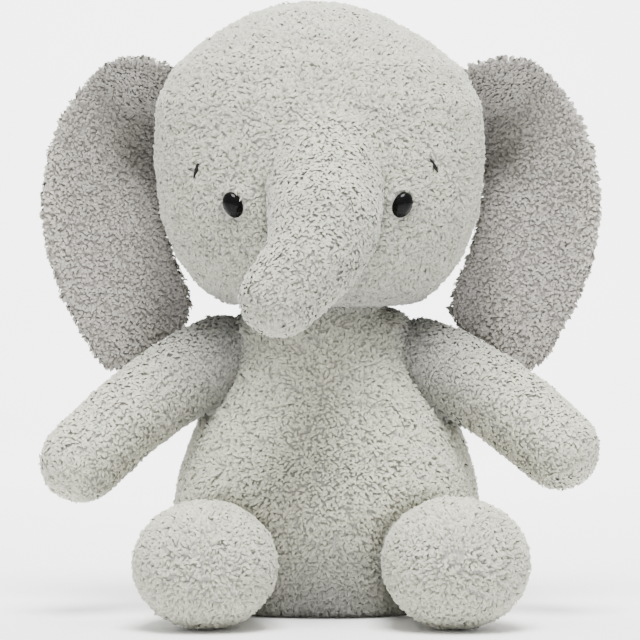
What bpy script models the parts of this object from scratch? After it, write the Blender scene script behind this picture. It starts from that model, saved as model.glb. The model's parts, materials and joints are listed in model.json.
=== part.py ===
"""Seated plush elephant: sewn pile-fabric panels over fibre stuffing, limbs and head sewn on."""

import math

import bmesh
import bpy
from mathutils import Matrix, Vector

# Everything is laid out about the torso's axis, then moved so the footprint is centred.
FRAME_SHIFT = Vector((0.0, 0.0182, 0.0))

FABRIC = 0.0020  # plush backing with its pile pressed flat
SEAM_GAP = 0.0004  # clear space between two pieces that touch
STUFFING_INSET = 0.0030
LIMB_STUFFING_INSET = 0.0026
THREAD = 0.0005  # sewing thread radius, doubled
PATH_STEPS = 2  # sections from one row of a limb path to the next
BODY_SEGMENTS = 24
LIMB_SEGMENTS = 14

# Torso and head sections, bottom to top: height, half width, half depth, centre x, centre y.
TORSO_ROWS = (
    (0.0010, 0.0485, 0.0405, 0.0020, 0.0000),
    (0.0050, 0.0545, 0.0455, 0.0020, 0.0000),
    (0.0130, 0.0590, 0.0490, 0.0020, 0.0000),
    (0.0260, 0.0610, 0.0505, 0.0020, 0.0000),
    (0.0410, 0.0603, 0.0495, 0.0022, 0.0000),
    (0.0550, 0.0580, 0.0470, 0.0024, 0.0000),
    (0.0690, 0.0532, 0.0435, 0.0026, 0.0000),
    (0.0830, 0.0480, 0.0395, 0.0028, 0.0000),
    (0.0970, 0.0390, 0.0340, 0.0020, -0.0010),
    (0.1090, 0.0310, 0.0290, 0.0010, -0.0020),
    (0.1160, 0.0255, 0.0250, 0.0000, -0.0030),
)
HEAD_ROWS = (
    (0.1222, 0.0270, 0.0260, 0.0000, -0.0040),
    (0.1236, 0.0385, 0.0350, 0.0000, -0.0070),
    (0.1290, 0.0465, 0.0420, -0.0004, -0.0080),
    (0.1400, 0.0555, 0.0480, -0.0006, -0.0080),
    (0.1570, 0.0623, 0.0515, -0.0006, -0.0070),
    (0.1790, 0.0648, 0.0525, -0.0006, -0.0060),
    (0.2000, 0.0640, 0.0520, -0.0008, -0.0050),
    (0.2140, 0.0575, 0.0480, -0.0014, -0.0040),
    (0.2260, 0.0430, 0.0385, -0.0022, -0.0030),
    (0.2355, 0.0262, 0.0250, -0.0028, -0.0025),
    (0.2395, 0.0140, 0.0135, -0.0030, -0.0025),
    (0.2412, 0.0000, 0.0000, -0.0030, -0.0025),
)

# Seat: a flat oval of plain fabric closing the underside.
SEAT_HALF_WIDTH = 0.0470
SEAT_HALF_DEPTH = 0.0390
BEAN_BAG_CENTRE = Vector((0.0020, 0.0150, 0.0155))
BEAN_BAG_HALF = Vector((0.0400, 0.0265, 0.0120))

# Neck: a ball of fibre packed through both openings.
NECK_PIVOT = Vector((0.0, -0.0035, 0.1190))
NECK_BALL = 0.0195
NECK_SEAM = 0.0236

# Centre strip of the head, between the two side panels.
GUSSET_HALF_WIDTH = 0.0150
GUSSET_LEVEL = 0.1550

# Eyes: 9 mm safety eyes on shanks, held by washers inside the cover.
EYE_HEIGHT = 0.1600
EYE_OFFSET = 0.0325
EYE_CENTRE_X = -0.0013
EYE_RADIUS = 0.0046
EYE_DOME = 0.0034
SHANK_RADIUS = 0.0015
SHANK_LENGTH = 0.0085
SHANK_HOLE = 0.0021
WASHER_RADIUS = 0.0052
WASHER_THICKNESS = 0.0012
WASHER_SET = 0.0015  # the cover curves, so the flat washer sits this far behind it
WASHER_POCKET = 0.0062

# Eyebrow stitches: inner upper end and outer lower end, as x from the middle and height.
BROW_ENDS = {"left": ((0.0414, 0.1776), (0.0453, 0.1737)), "right": ((0.0469, 0.1765), (0.0492, 0.1714))}
BROW_THREAD = 0.00035

# Trunk: path from the hinge ball to the centre of the rounded tip, with its radius.
TRUNK_PATH = (
    (0.0010, -0.0560, 0.1550, 0.0200),
    (0.0010, -0.0730, 0.1500, 0.0196),
    (-0.0060, -0.0850, 0.1375, 0.0176),
    (-0.0150, -0.0905, 0.1260, 0.0142),
)
TRUNK_CLEARANCE = 0.0008

# Arms: shoulder pivot, then the hand's centre on each side.
SHOULDER = Vector((0.0500, -0.0110, 0.0955))
ARM_BALL = 0.0142
ARM_MID = 0.0150
ARM_END = 0.0146
HAND = {"left": Vector((0.0925, -0.0350, 0.0655)), "right": Vector((-0.0935, -0.0350, 0.0605))}
ARM_SAG = 0.0028  # how far the middle of the arm bows upwards
ARMHOLE = 0.0178

# Legs: hip pivot, then the foot's centre on each side. Feet are wider than tall.
HIP = Vector((0.0365, -0.0360, 0.0245))
LEG_BALL = 0.0212
LEG_MID = 0.0205
FOOT_END = {"left": 0.0236, "right": 0.0230}
FOOT_WIDEN = 1.14
FOOT = {"left": Vector((0.0505, -0.0830, 0.0250)), "right": Vector((-0.0435, -0.0830, 0.0244))}
LEGHOLE = 0.0246

# Ears: outline of the left ear seen from the front, x and height, from the top of its seam outwards.
EAR_OUTLINE = (
    (0.0670, 0.2060),
    (0.0640, 0.2160),
    (0.0780, 0.2190),
    (0.0900, 0.2145),
    (0.1010, 0.2010),
    (0.1090, 0.1830),
    (0.1118, 0.1650),
    (0.1105, 0.1470),
    (0.1050, 0.1280),
    (0.0960, 0.1100),
    (0.0855, 0.0955),
    (0.0785, 0.0960),
    (0.0650, 0.1060),
    (0.0545, 0.1140),
    (0.0545, 0.1260),
    (0.0600, 0.1390),
    (0.0650, 0.1570),
    (0.0670, 0.1810),
)
EAR_MIDDLE = Vector((0.0860, 0.0, 0.1600))
EAR_SCALES = (1.0, 0.80, 0.50)
EAR_SEAM = Vector((0.0665, 0.0060, 0.1810))
EAR_ROOT_Y = 0.0060
EAR_CUP = 0.0085  # how far the middle sits behind the rim
EAR_LEAN = 0.10  # backwards slope from the seam outwards
EAR_FABRIC = 0.0018
EAR_PANEL_GAP = 0.0028

# Tail: tapered, sewn into the centre-back seam, hanging to just above the floor.
TAIL_PATH = (
    (0.0020, 0.0556, 0.0335, 0.0048),
    (0.0020, 0.0610, 0.0240, 0.0046),
    (0.0020, 0.0645, 0.0150, 0.0044),
    (0.0020, 0.0660, 0.0085, 0.0050),
)

SIDES = {"left": 1.0, "right": -1.0}

PLUSH = (0.60, 0.59, 0.53, 1.0)
EAR_LINING = (0.52, 0.49, 0.45, 1.0)
PLAIN_CLOTH = (0.50, 0.49, 0.45, 1.0)
FIBRE = (0.90, 0.90, 0.88, 1.0)
BEAN_CLOTH = (0.82, 0.80, 0.74, 1.0)
BLACK = (0.010, 0.010, 0.011, 1.0)
THREAD_GREY = (0.48, 0.47, 0.43, 1.0)
NYLON = (0.80, 0.80, 0.78, 1.0)


# ---------------------------------------------------------------- scene and materials


def clear_scene():
    for obj in list(bpy.data.objects):
        bpy.data.objects.remove(obj, do_unlink=True)


def principled(name, colour, roughness, metallic=0.0):
    mat = bpy.data.materials.new(name)
    mat.use_nodes = True
    shader = mat.node_tree.nodes["Principled BSDF"]
    shader.inputs["Base Color"].default_value = colour
    shader.inputs["Roughness"].default_value = roughness
    shader.inputs["Metallic"].default_value = metallic
    return mat


def add_object(name, bm, pivot, colour, roughness=0.95):
    """Turn a bmesh in layout coordinates into a named object whose origin is on the pivot."""
    bmesh.ops.translate(bm, verts=bm.verts, vec=-pivot)
    mesh = bpy.data.meshes.new(name)
    bm.to_mesh(mesh)
    bm.free()
    mesh.shade_smooth()
    obj = bpy.data.objects.new(name, mesh)
    bpy.context.scene.collection.objects.link(obj)
    obj.location = pivot + FRAME_SHIFT
    obj.data.materials.append(principled(name, colour, roughness))
    return obj


def thicken(obj, thickness=FABRIC, even=True):
    """Fabric thickness, laid inwards from the outer surface."""
    mod = obj.modifiers.new("fabric", "SOLIDIFY")
    mod.thickness = thickness
    mod.offset = -1.0
    mod.use_even_offset = even
    mod.use_rim = True
    obj.modifiers.new("flat_faces", "TRIANGULATE")


def cut(obj, cutter):
    mod = obj.modifiers.new("opening", "BOOLEAN")
    mod.operation = "DIFFERENCE"
    mod.solver = "EXACT"
    mod.object = cutter


def as_cutter(obj):
    obj.hide_render = True
    obj.display_type = "WIRE"
    return obj


def ball_cutter(name, centre, radius, segments=16):
    bm = bmesh.new()
    spin = Matrix.Rotation(math.radians(7.0), 4, "Z")
    bmesh.ops.create_uvsphere(bm, u_segments=segments, v_segments=segments // 2, radius=radius, matrix=spin)
    bmesh.ops.translate(bm, verts=bm.verts, vec=centre)
    return as_cutter(add_object(name, bm, centre, NYLON))


def rod_cutter(name, centre, direction, radius, inner, outer):
    """Cylinder along direction, from inner to outer measured from the centre."""
    bm = bmesh.new()
    turn = Vector((0.0, 0.0, 1.0)).rotation_difference(direction).to_matrix().to_4x4()
    place = Matrix.Translation(centre + direction * (inner + outer) / 2.0) @ turn
    bmesh.ops.create_cone(
        bm, cap_ends=True, segments=16, radius1=radius, radius2=radius, depth=outer - inner, matrix=place
    )
    return as_cutter(add_object(name, bm, centre, NYLON))


# ---------------------------------------------------------------- profiles and lofts


def smooth_rows(rows, steps):
    """Catmull-Rom through the rows, with extra rows between each pair."""
    points = [Vector(row) for row in rows]
    ends = [points[0] * 2.0 - points[1]] + points + [points[-1] * 2.0 - points[-2]]
    result = []
    for i in range(1, len(ends) - 2):
        p0, p1, p2, p3 = ends[i - 1], ends[i], ends[i + 1], ends[i + 2]
        for k in range(steps):
            t = k / steps
            tangent = (p2 - p0) * t
            bend = (p0 * 2.0 - p1 * 5.0 + p2 * 4.0 - p3) * t * t
            twist = (p1 * 3.0 - p0 - p2 * 3.0 + p3) * t * t * t
            result.append(p1 + (tangent + bend + twist) * 0.5)
    result.append(points[-1])
    return result


def oval_ring(centre, across, up, half_across, half_up, segments):
    ring = []
    for i in range(segments):
        angle = math.tau * (i + 0.5) / segments
        ring.append(centre + across * math.cos(angle) * half_across + up * math.sin(angle) * half_up)
    return ring


def loft(rings, cap_start=False, cap_end=False, loop=False):
    """Quads between rings of points; a one-point ring is a pole."""
    bm = bmesh.new()
    rows = [[bm.verts.new(p) for p in ring] for ring in rings]
    if loop:
        rows.append(rows[0])
    for low, high in zip(rows, rows[1:]):
        count = max(len(low), len(high))
        for i in range(count):
            j = (i + 1) % count
            corners = [low[i % len(low)], low[j % len(low)], high[j % len(high)], high[i % len(high)]]
            bm.faces.new(list(dict.fromkeys(corners)))
    if cap_start:
        bm.faces.new(list(reversed(rows[0])))
    if cap_end:
        bm.faces.new(rows[-1])
    bm.normal_update()
    return bm


def upright_rings(rows, inset=0.0, segments=BODY_SEGMENTS):
    """Horizontal oval sections of the torso or head, moved inwards square to the profile."""
    across = Vector((1.0, 0.0, 0.0))
    ahead = Vector((0.0, 1.0, 0.0))
    rings = []
    for i, (z, width, depth, cx, cy) in enumerate(rows):
        before = rows[max(i - 1, 0)]
        after = rows[min(i + 1, len(rows) - 1)]
        slope = Vector((after[0] - before[0], before[1] - after[1])).normalized()
        if width == 0.0:
            rings.append([Vector((cx, cy, z - inset))])
            continue
        centre = Vector((cx, cy, z - inset * slope.y))
        shrink = inset * max(slope.x, 0.0)
        rings.append(oval_ring(centre, across, ahead, width - shrink, depth - shrink, segments))
    return rings


def limb_rings(path, inset=0.0, widen=1.0, ball=None, segments=LIMB_SEGMENTS):
    """Round sections along a path of x, y, z, radius; a ball at its start and a dome at its end."""
    rows = smooth_rows(path, PATH_STEPS)
    start_radius = (ball or rows[0][3]) - inset
    end_radius = rows[-1][3] - inset
    points = [Vector(row[:3]) for row in rows]
    first = (points[1] - points[0]).normalized()
    last = (points[-1] - points[-2]).normalized()
    sections = [(points[0] - first * start_radius, first, 0.0)]
    for angle in (30.0, 60.0):
        a = math.radians(angle)
        sections.append((points[0] - first * start_radius * math.cos(a), first, start_radius * math.sin(a)))
    for i, row in enumerate(rows):
        if i == 0:
            sections.append((points[0], first, start_radius))
            continue
        ahead = points[min(i + 1, len(points) - 1)] - points[i - 1]
        sections.append((points[i], ahead.normalized(), row[3] - inset))
    for angle in (30.0, 60.0):
        a = math.radians(angle)
        sections.append((points[-1] + last * end_radius * math.sin(a), last, end_radius * math.cos(a)))
    sections.append((points[-1] + last * end_radius, last, 0.0))
    rings = []
    for index, (centre, ahead, radius) in enumerate(sections):
        if radius == 0.0:
            rings.append([centre])
            continue
        across = ahead.cross(Vector((0.0, 0.0, 1.0)))
        if across.length < 0.2:
            across = Vector((1.0, 0.0, 0.0))
        across.normalize()
        up = across.cross(ahead).normalized()
        share = max(0.0, min(1.0, (index - 3) / (len(sections) - 6)))
        half_across = radius * (1.0 + (widen - 1.0) * share)
        rings.append(oval_ring(centre, across, -up, half_across, radius, segments))
    return rings


def closed_loft(rings):
    """Loft whose open ends are capped and whose faces look outwards."""
    bm = loft(rings, cap_start=len(rings[0]) > 1, cap_end=len(rings[-1]) > 1)
    bmesh.ops.recalc_face_normals(bm, faces=bm.faces)
    return bm


def slab_cutter(name, point, normal):
    """Large block that removes everything behind a plane."""
    size = 0.5
    turn = Vector((0.0, 0.0, 1.0)).rotation_difference(normal).to_matrix().to_4x4()
    bm = bmesh.new()
    place = Matrix.Translation(point + normal * (SEAM_GAP - size) / 2.0) @ turn
    bmesh.ops.create_cube(bm, size=size, matrix=place)
    return as_cutter(add_object(name, bm, point, NYLON))


def panel(name, rings, cuts, pivot, colour=PLUSH):
    """One sewn panel: the part of a lofted skin in front of the given planes, with fabric thickness."""
    bm = loft(rings)
    bmesh.ops.recalc_face_normals(bm, faces=bm.faces)
    middle = sum((v.co for v in bm.verts), Vector()) / len(bm.verts)
    outward = sum((f.normal.dot(f.calc_center_median() - middle) for f in bm.faces), 0.0)
    if outward < 0.0:
        bmesh.ops.reverse_faces(bm, faces=bm.faces)
    obj = add_object(name, bm, pivot, colour)
    thicken(obj)
    for index, (point, normal) in enumerate(cuts):
        cut(obj, slab_cutter(f"{name}_edge_{index}", point, normal.normalized()))
    return obj


def section_at(rows, height):
    """Interpolated half width, half depth and centre of an upright profile at a height."""
    for low, high in zip(rows, rows[1:]):
        if low[0] <= height <= high[0]:
            return Vector(low).lerp(Vector(high), (height - low[0]) / (high[0] - low[0]))
    return Vector(rows[0])


def head_point(x, height):
    """Point on the front of the head at an x and height, with its outward normal."""

    def front(px, pz):
        _, width, depth, cx, cy = section_at(HEAD_ROWS, pz)
        share = (px - cx) / width
        return Vector((px, cy - depth * math.sqrt(1.0 - share * share), pz))

    step = 0.001
    point = front(x, height)
    along = front(x + step, height) - front(x - step, height)
    rise = front(x, height + step) - front(x, height - step)
    return point, along.cross(rise).normalized()


def turned(rows, centre, direction, segments=14, loop=False):
    """Solid of revolution about a direction: rows of distance along it and radius."""
    across = direction.cross(Vector((0.0, 0.0, 1.0))).normalized()
    up = across.cross(direction).normalized()
    rings = []
    for along, radius in rows:
        middle = centre + direction * along
        if radius == 0.0:
            rings.append([middle])
        else:
            rings.append(oval_ring(middle, across, up, radius, radius, segments))
    bm = loft(rings, loop=loop)
    bmesh.ops.recalc_face_normals(bm, faces=bm.faces)
    return bm


def thread_ring(name, centre, axis, radius, pivot, wide=1.0):
    """Closed loop of sewing thread around a limb."""
    across = axis.cross(Vector((0.0, 0.0, 1.0)))
    if across.length < 0.2:
        across = Vector((1.0, 0.0, 0.0))
    across.normalize()
    up = across.cross(axis).normalized()
    rings = []
    count = 18
    for i in range(count):
        angle = math.tau * i / count
        out = across * math.cos(angle) * wide + up * math.sin(angle)
        rings.append(oval_ring(centre + out * radius, out.normalized(), axis, THREAD, THREAD, 4))
    bm = loft(rings, loop=True)
    bmesh.ops.recalc_face_normals(bm, faces=bm.faces)
    return add_object(name, bm, pivot, THREAD_GREY, 0.7)


# ---------------------------------------------------------------- layout of the limbs


def mirrored(vector, side):
    return Vector((vector.x * side, vector.y, vector.z))


def arm_path(word):
    side = SIDES[word]
    start = mirrored(SHOULDER, side)
    end = HAND[word]
    rows = []
    for share, radius in ((0.0, ARM_BALL), (0.33, ARM_MID), (0.67, ARM_MID), (1.0, ARM_END)):
        point = start.lerp(end, share)
        lift = ARM_SAG * 4.0 * share * (1.0 - share)
        rows.append((point.x, point.y, point.z + lift, radius))
    return rows


def leg_path(word):
    side = SIDES[word]
    start = mirrored(HIP, side)
    end = FOOT[word]
    rows = []
    for share, radius in ((0.0, LEG_BALL), (0.35, LEG_MID), (0.7, 0.0222), (1.0, FOOT_END[word])):
        point = start.lerp(end, share)
        rows.append((point.x, point.y, point.z, radius))
    return rows


def limb_cutters():
    """Balls that open the torso at the shoulders and hips, and the head at the trunk."""
    torso = []
    for word, side in SIDES.items():
        torso.append(ball_cutter(f"armhole_{word}", mirrored(SHOULDER, side), ARMHOLE))
        torso.append(ball_cutter(f"leghole_{word}", mirrored(HIP, side), LEGHOLE))
    root = Vector(TRUNK_PATH[0][:3])
    head = ball_cutter("trunk_opening", root, TRUNK_PATH[0][3] + TRUNK_CLEARANCE)
    return torso, head


# ---------------------------------------------------------------- torso


def build_torso(cutters):
    rings = upright_rings(TORSO_ROWS)
    middle = Vector((TORSO_ROWS[4][3], 0.0, 0.0))
    right_x = Vector((1.0, 0.0, 0.0))
    front_y = Vector((0.0, -1.0, 0.0))
    layout = {
        "torso_front_left": (right_x, front_y),
        "torso_front_right": (-right_x, front_y),
        "torso_back_left": (right_x, -front_y),
        "torso_back_right": (-right_x, -front_y),
    }
    for name, normals in layout.items():
        obj = panel(name, rings, [(middle, n) for n in normals], Vector())
        for cutter in cutters:
            cut(obj, cutter)
    build_seat()
    build_torso_stuffing(cutters)


def build_seat():
    """Flat oval seat panel, its underside on the floor."""
    across = Vector((1.0, 0.0, 0.0))
    ahead = Vector((0.0, 1.0, 0.0))
    centre = Vector((TORSO_ROWS[0][3], 0.0, 0.0))
    low = oval_ring(centre, across, ahead, SEAT_HALF_WIDTH, SEAT_HALF_DEPTH, BODY_SEGMENTS)
    top = [p + Vector((0.0, 0.0, FABRIC)) for p in low]
    add_object("seat_panel", closed_loft([low, top]), Vector(), PLAIN_CLOTH)


def bean_bag_rings(grow, floor=None):
    """Cushion sections; with a floor height the lower half drops straight down to it."""
    rings = []
    across = Vector((1.0, 0.0, 0.0))
    ahead = Vector((0.0, 1.0, 0.0))
    half = BEAN_BAG_HALF + Vector((grow, grow, grow))
    steps = 8
    for i in range(steps + 1):
        angle = math.pi * i / steps - math.pi / 2.0
        height = math.sin(angle) * half.z
        width = math.cos(angle) ** 0.5 if 0 < i < steps else 0.0
        centre = BEAN_BAG_CENTRE + Vector((0.0, 0.0, height))
        if floor is not None and height < 0.0:
            if i == 0:
                centre.z = floor
                rings.append(oval_ring(centre, across, ahead, half.x, half.y, 20))
            continue
        if width == 0.0:
            rings.append([centre])
            continue
        rings.append(oval_ring(centre, across, ahead, half.x * width, half.y * width, 20))
    return rings


def build_torso_stuffing(cutters):
    bag = closed_loft(bean_bag_rings(0.0))
    add_object("bean_bag", bag, Vector(), BEAN_CLOTH, 0.8)
    pocket = closed_loft(bean_bag_rings(SEAM_GAP * 2.0, floor=-0.004))
    pocket_cutter = as_cutter(add_object("bean_bag_pocket", pocket, Vector(), NYLON))
    fibre = closed_loft(upright_rings(TORSO_ROWS, STUFFING_INSET))
    obj = add_object("torso_stuffing", fibre, Vector(), FIBRE, 1.0)
    for cutter in cutters:
        cut(obj, cutter)
    cut(obj, pocket_cutter)
    cut(obj, ball_cutter("neck_pocket", NECK_PIVOT, NECK_BALL + SEAM_GAP * 2.0))


# ---------------------------------------------------------------- neck and head


def build_neck():
    bm = bmesh.new()
    bmesh.ops.create_uvsphere(bm, u_segments=16, v_segments=8, radius=NECK_BALL)
    bmesh.ops.translate(bm, verts=bm.verts, vec=NECK_PIVOT)
    add_object("neck_stuffing", bm, NECK_PIVOT, FIBRE, 1.0)
    thread_ring("neck_seam_thread", NECK_PIVOT, Vector((0.0, 0.0, 1.0)), NECK_SEAM, NECK_PIVOT)


def build_head(trunk_cutter):
    rings = upright_rings(HEAD_ROWS)
    right_x = Vector((1.0, 0.0, 0.0))
    up = Vector((0.0, 0.0, 1.0))
    ahead = Vector((0.0, -1.0, 0.0))
    left_seam = Vector((GUSSET_HALF_WIDTH + HEAD_ROWS[5][3], 0.0, 0.0))
    right_seam = Vector((-GUSSET_HALF_WIDTH + HEAD_ROWS[5][3], 0.0, 0.0))
    level = Vector((0.0, 0.0, GUSSET_LEVEL))
    strip = [(left_seam, -right_x), (right_seam, right_x)]
    covers = [
        panel("head_side_left", rings, [(left_seam, right_x)], NECK_PIVOT),
        panel("head_side_right", rings, [(right_seam, -right_x)], NECK_PIVOT),
        panel("head_gusset", rings, strip + [(level, up)], NECK_PIVOT),
        panel("chin_panel", rings, strip + [(level, -up), (Vector(), ahead)], NECK_PIVOT),
    ]
    panel("nape_panel", rings, strip + [(level, -up), (Vector(), -ahead)], NECK_PIVOT)
    for obj in covers:
        cut(obj, trunk_cutter)
    fibre = closed_loft(upright_rings(HEAD_ROWS, STUFFING_INSET))
    stuffing = add_object("head_stuffing", fibre, NECK_PIVOT, FIBRE, 1.0)
    cut(stuffing, trunk_cutter)
    cut(stuffing, ball_cutter("head_neck_pocket", NECK_PIVOT, NECK_BALL + SEAM_GAP * 2.0))
    for word, side in SIDES.items():
        build_eye(word, side, covers[0 if side > 0 else 1], stuffing)
        build_brow(word, side)


def build_eye(word, side, cover, stuffing):
    """Safety eye: dome and shank in one, washer pressed on behind the cover."""
    point, normal = head_point(EYE_CENTRE_X + side * EYE_OFFSET, EYE_HEIGHT)
    lift = SEAM_GAP
    rows = [(-SHANK_LENGTH, 0.0), (-SHANK_LENGTH, SHANK_RADIUS), (lift, SHANK_RADIUS), (lift, EYE_RADIUS * 0.94)]
    for angle in (0.0, 18.0, 38.0, 58.0, 75.0):
        a = math.radians(angle)
        rows.append((lift + 0.0007 + EYE_DOME * math.sin(a), EYE_RADIUS * math.cos(a)))
    rows.append((lift + 0.0007 + EYE_DOME, 0.0))
    eye = add_object(f"eye_{word}", turned(rows, point, normal), NECK_PIVOT, BLACK, 0.08)
    eye.data.materials[0].node_tree.nodes["Principled BSDF"].inputs["IOR"].default_value = 1.5
    near = -(FABRIC + WASHER_SET)
    far = near - WASHER_THICKNESS
    inner = SHANK_RADIUS + SEAM_GAP
    loop = [(near, inner), (near, WASHER_RADIUS), (far, WASHER_RADIUS), (far, inner)]
    washer = turned(loop, point, normal, loop=True)
    add_object(f"eye_washer_{word}", washer, NECK_PIVOT, NYLON, 0.4)
    cut(cover, rod_cutter(f"shank_hole_{word}", point, normal, SHANK_HOLE, -0.012, 0.006))
    cut(stuffing, rod_cutter(f"washer_pocket_{word}", point, normal, WASHER_POCKET, -0.0105, 0.006))


def build_brow(word, side):
    """Short straight stitch lying just above the cover."""
    (x0, z0), (x1, z1) = BROW_ENDS[word]
    rings = []
    count = 5
    for i in range(count):
        share = i / (count - 1)
        x = side * (x0 + (x1 - x0) * share)
        point, normal = head_point(x, z0 + (z1 - z0) * share)
        centre = point + normal * (BROW_THREAD + SEAM_GAP)
        along = Vector((side * (x1 - x0), 0.0, z1 - z0)).normalized()
        across = along.cross(normal).normalized()
        rings.append(oval_ring(centre, across, normal, BROW_THREAD, BROW_THREAD, 6))
    add_object(f"eyebrow_{word}", closed_loft(rings), NECK_PIVOT, BLACK, 0.6)


# ---------------------------------------------------------------- trunk, ears, limbs, tail


def split_cover(stem, words, rings, point, normal, pivot):
    """Two half covers of a limb on either side of a plane through it."""
    for word, direction in zip(words, (normal, -normal)):
        panel(f"{stem}_{word}", rings, [(point, direction)], pivot)


def build_trunk():
    pivot = Vector(TRUNK_PATH[0][:3])
    tip = Vector(TRUNK_PATH[-1][:3])
    down = tip - pivot
    normal = Vector((1.0, 0.0, 0.0)).cross(down).normalized()
    if normal.z < 0.0:
        normal.negate()
    split_cover("trunk", ("top_panel", "under_panel"), limb_rings(TRUNK_PATH, segments=16), pivot, normal, pivot)
    fibre = closed_loft(limb_rings(TRUNK_PATH, inset=LIMB_STUFFING_INSET, segments=12))
    add_object("trunk_stuffing", fibre, pivot, FIBRE, 1.0)


def ear_depth(x, z, rim_share):
    """How far back the ear's surface lies: sloping out from the seam, cupped in the middle."""
    hollow = 1.0 - rim_share * rim_share
    return EAR_ROOT_Y + EAR_LEAN * (x - EAR_SEAM.x) + EAR_CUP * hollow


def ear_surface(offset):
    """Radial grid filling the ear's outline."""
    centre = Vector((EAR_MIDDLE.x, EAR_MIDDLE.z))
    rings = []
    for scale in EAR_SCALES:
        ring = []
        for point in EAR_OUTLINE:
            x, z = centre.lerp(Vector(point), scale)
            ring.append(Vector((x, ear_depth(x, z, scale) + offset, z)))
        rings.append(ring)
    x, z = centre
    rings.append([Vector((x, ear_depth(x, z, 0.0) + offset, z))])
    return loft(rings)


def build_ear(word, side):
    """Front lining and back panel, with a thin space between them."""
    pivot = mirrored(EAR_SEAM, side)
    for name, offset, faces_front, colour in (
        ("front_panel", 0.0, True, EAR_LINING),
        ("back_panel", EAR_FABRIC * 2.0 + EAR_PANEL_GAP, False, PLUSH),
    ):
        bm = ear_surface(offset)
        bmesh.ops.scale(bm, vec=Vector((side, 1.0, 1.0)), verts=bm.verts)
        bm.normal_update()
        looks_front = sum(f.normal.y for f in bm.faces) < 0.0
        if looks_front != faces_front:
            bmesh.ops.reverse_faces(bm, faces=bm.faces)
        thicken(add_object(f"ear_{word}_{name}", bm, pivot, colour), EAR_FABRIC, even=False)


def build_arm(word, side):
    path = arm_path(word)
    pivot = mirrored(SHOULDER, side)
    along = (HAND[word] - pivot).normalized()
    ahead = Vector((0.0, -1.0, 0.0))
    normal = along.cross(ahead) * side
    if normal.z < 0.0:
        normal.negate()
    split_cover(f"arm_{word}", ("upper_panel", "under_panel"), limb_rings(path), pivot, normal, pivot)
    fibre = closed_loft(limb_rings(path, inset=LIMB_STUFFING_INSET, segments=12))
    add_object(f"arm_{word}_stuffing", fibre, pivot, FIBRE, 1.0)
    thread_ring(f"arm_{word}_seam_thread", pivot + along * 0.0020, along, 0.0160, pivot)


def build_leg(word, side):
    path = leg_path(word)
    pivot = mirrored(HIP, side)
    along = (FOOT[word] - pivot).normalized()
    normal = along.cross(Vector((0.0, 0.0, 1.0))).normalized() * side
    if normal.x * side < 0.0:
        normal.negate()
    rings = limb_rings(path, widen=FOOT_WIDEN, segments=16)
    split_cover(f"leg_{word}", ("outer_panel", "inner_panel"), rings, pivot, normal, pivot)
    fibre = closed_loft(limb_rings(path, inset=LIMB_STUFFING_INSET, widen=FOOT_WIDEN, segments=12))
    add_object(f"leg_{word}_stuffing", fibre, pivot, FIBRE, 1.0)
    thread_ring(f"leg_{word}_seam_thread", pivot + along * 0.0050, along, 0.0222, pivot)


def build_tail():
    pivot = Vector(TAIL_PATH[0][:3])
    add_object("tail", closed_loft(limb_rings(TAIL_PATH, segments=8)), pivot, PLUSH)


def main():
    clear_scene()
    torso_cutters, trunk_cutter = limb_cutters()
    build_torso(torso_cutters)
    build_neck()
    build_head(trunk_cutter)
    build_trunk()
    for word, side in SIDES.items():
        build_ear(word, side)
        build_arm(word, side)
        build_leg(word, side)
    build_tail()


main()
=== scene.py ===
import json
import math

import bmesh
import bpy
import numpy as np
from mathutils import Matrix, Vector

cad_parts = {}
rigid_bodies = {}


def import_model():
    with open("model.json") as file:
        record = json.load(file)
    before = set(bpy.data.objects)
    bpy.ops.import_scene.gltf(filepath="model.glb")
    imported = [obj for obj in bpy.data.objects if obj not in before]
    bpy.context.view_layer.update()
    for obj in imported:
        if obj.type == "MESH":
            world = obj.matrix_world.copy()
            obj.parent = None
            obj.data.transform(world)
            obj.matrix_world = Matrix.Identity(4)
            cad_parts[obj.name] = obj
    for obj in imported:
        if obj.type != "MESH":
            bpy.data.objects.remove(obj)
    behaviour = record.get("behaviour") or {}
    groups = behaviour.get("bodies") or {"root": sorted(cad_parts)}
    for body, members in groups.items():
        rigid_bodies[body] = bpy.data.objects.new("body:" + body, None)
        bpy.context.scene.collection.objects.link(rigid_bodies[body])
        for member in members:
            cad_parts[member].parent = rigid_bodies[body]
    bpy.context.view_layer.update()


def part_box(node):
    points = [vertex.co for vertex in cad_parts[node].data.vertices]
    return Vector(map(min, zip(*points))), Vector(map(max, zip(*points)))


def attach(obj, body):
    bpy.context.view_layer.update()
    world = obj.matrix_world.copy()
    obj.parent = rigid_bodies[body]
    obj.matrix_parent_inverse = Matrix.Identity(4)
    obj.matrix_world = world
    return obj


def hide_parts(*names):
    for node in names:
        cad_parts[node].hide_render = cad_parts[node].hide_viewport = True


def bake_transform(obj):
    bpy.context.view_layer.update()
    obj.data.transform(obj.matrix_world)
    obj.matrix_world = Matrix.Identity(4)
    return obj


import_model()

SHIFT = 0.0182  # the torso's axis stands this far behind the origin
SIDES = {"left": 1.0, "right": -1.0}  # the toy's own left is +X

# where the head and limbs are sewn on
NECK = np.array((0.0, -0.0035 + SHIFT, 0.1190))
SHOULDER = np.array((0.0500, -0.0110 + SHIFT, 0.0955))
HIP = np.array((0.0365, -0.0360 + SHIFT, 0.0245))
NECK_RADIUS = 0.0235
HIP_RADIUS = 0.0182
HIP_OUTSET = 0.0040

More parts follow.
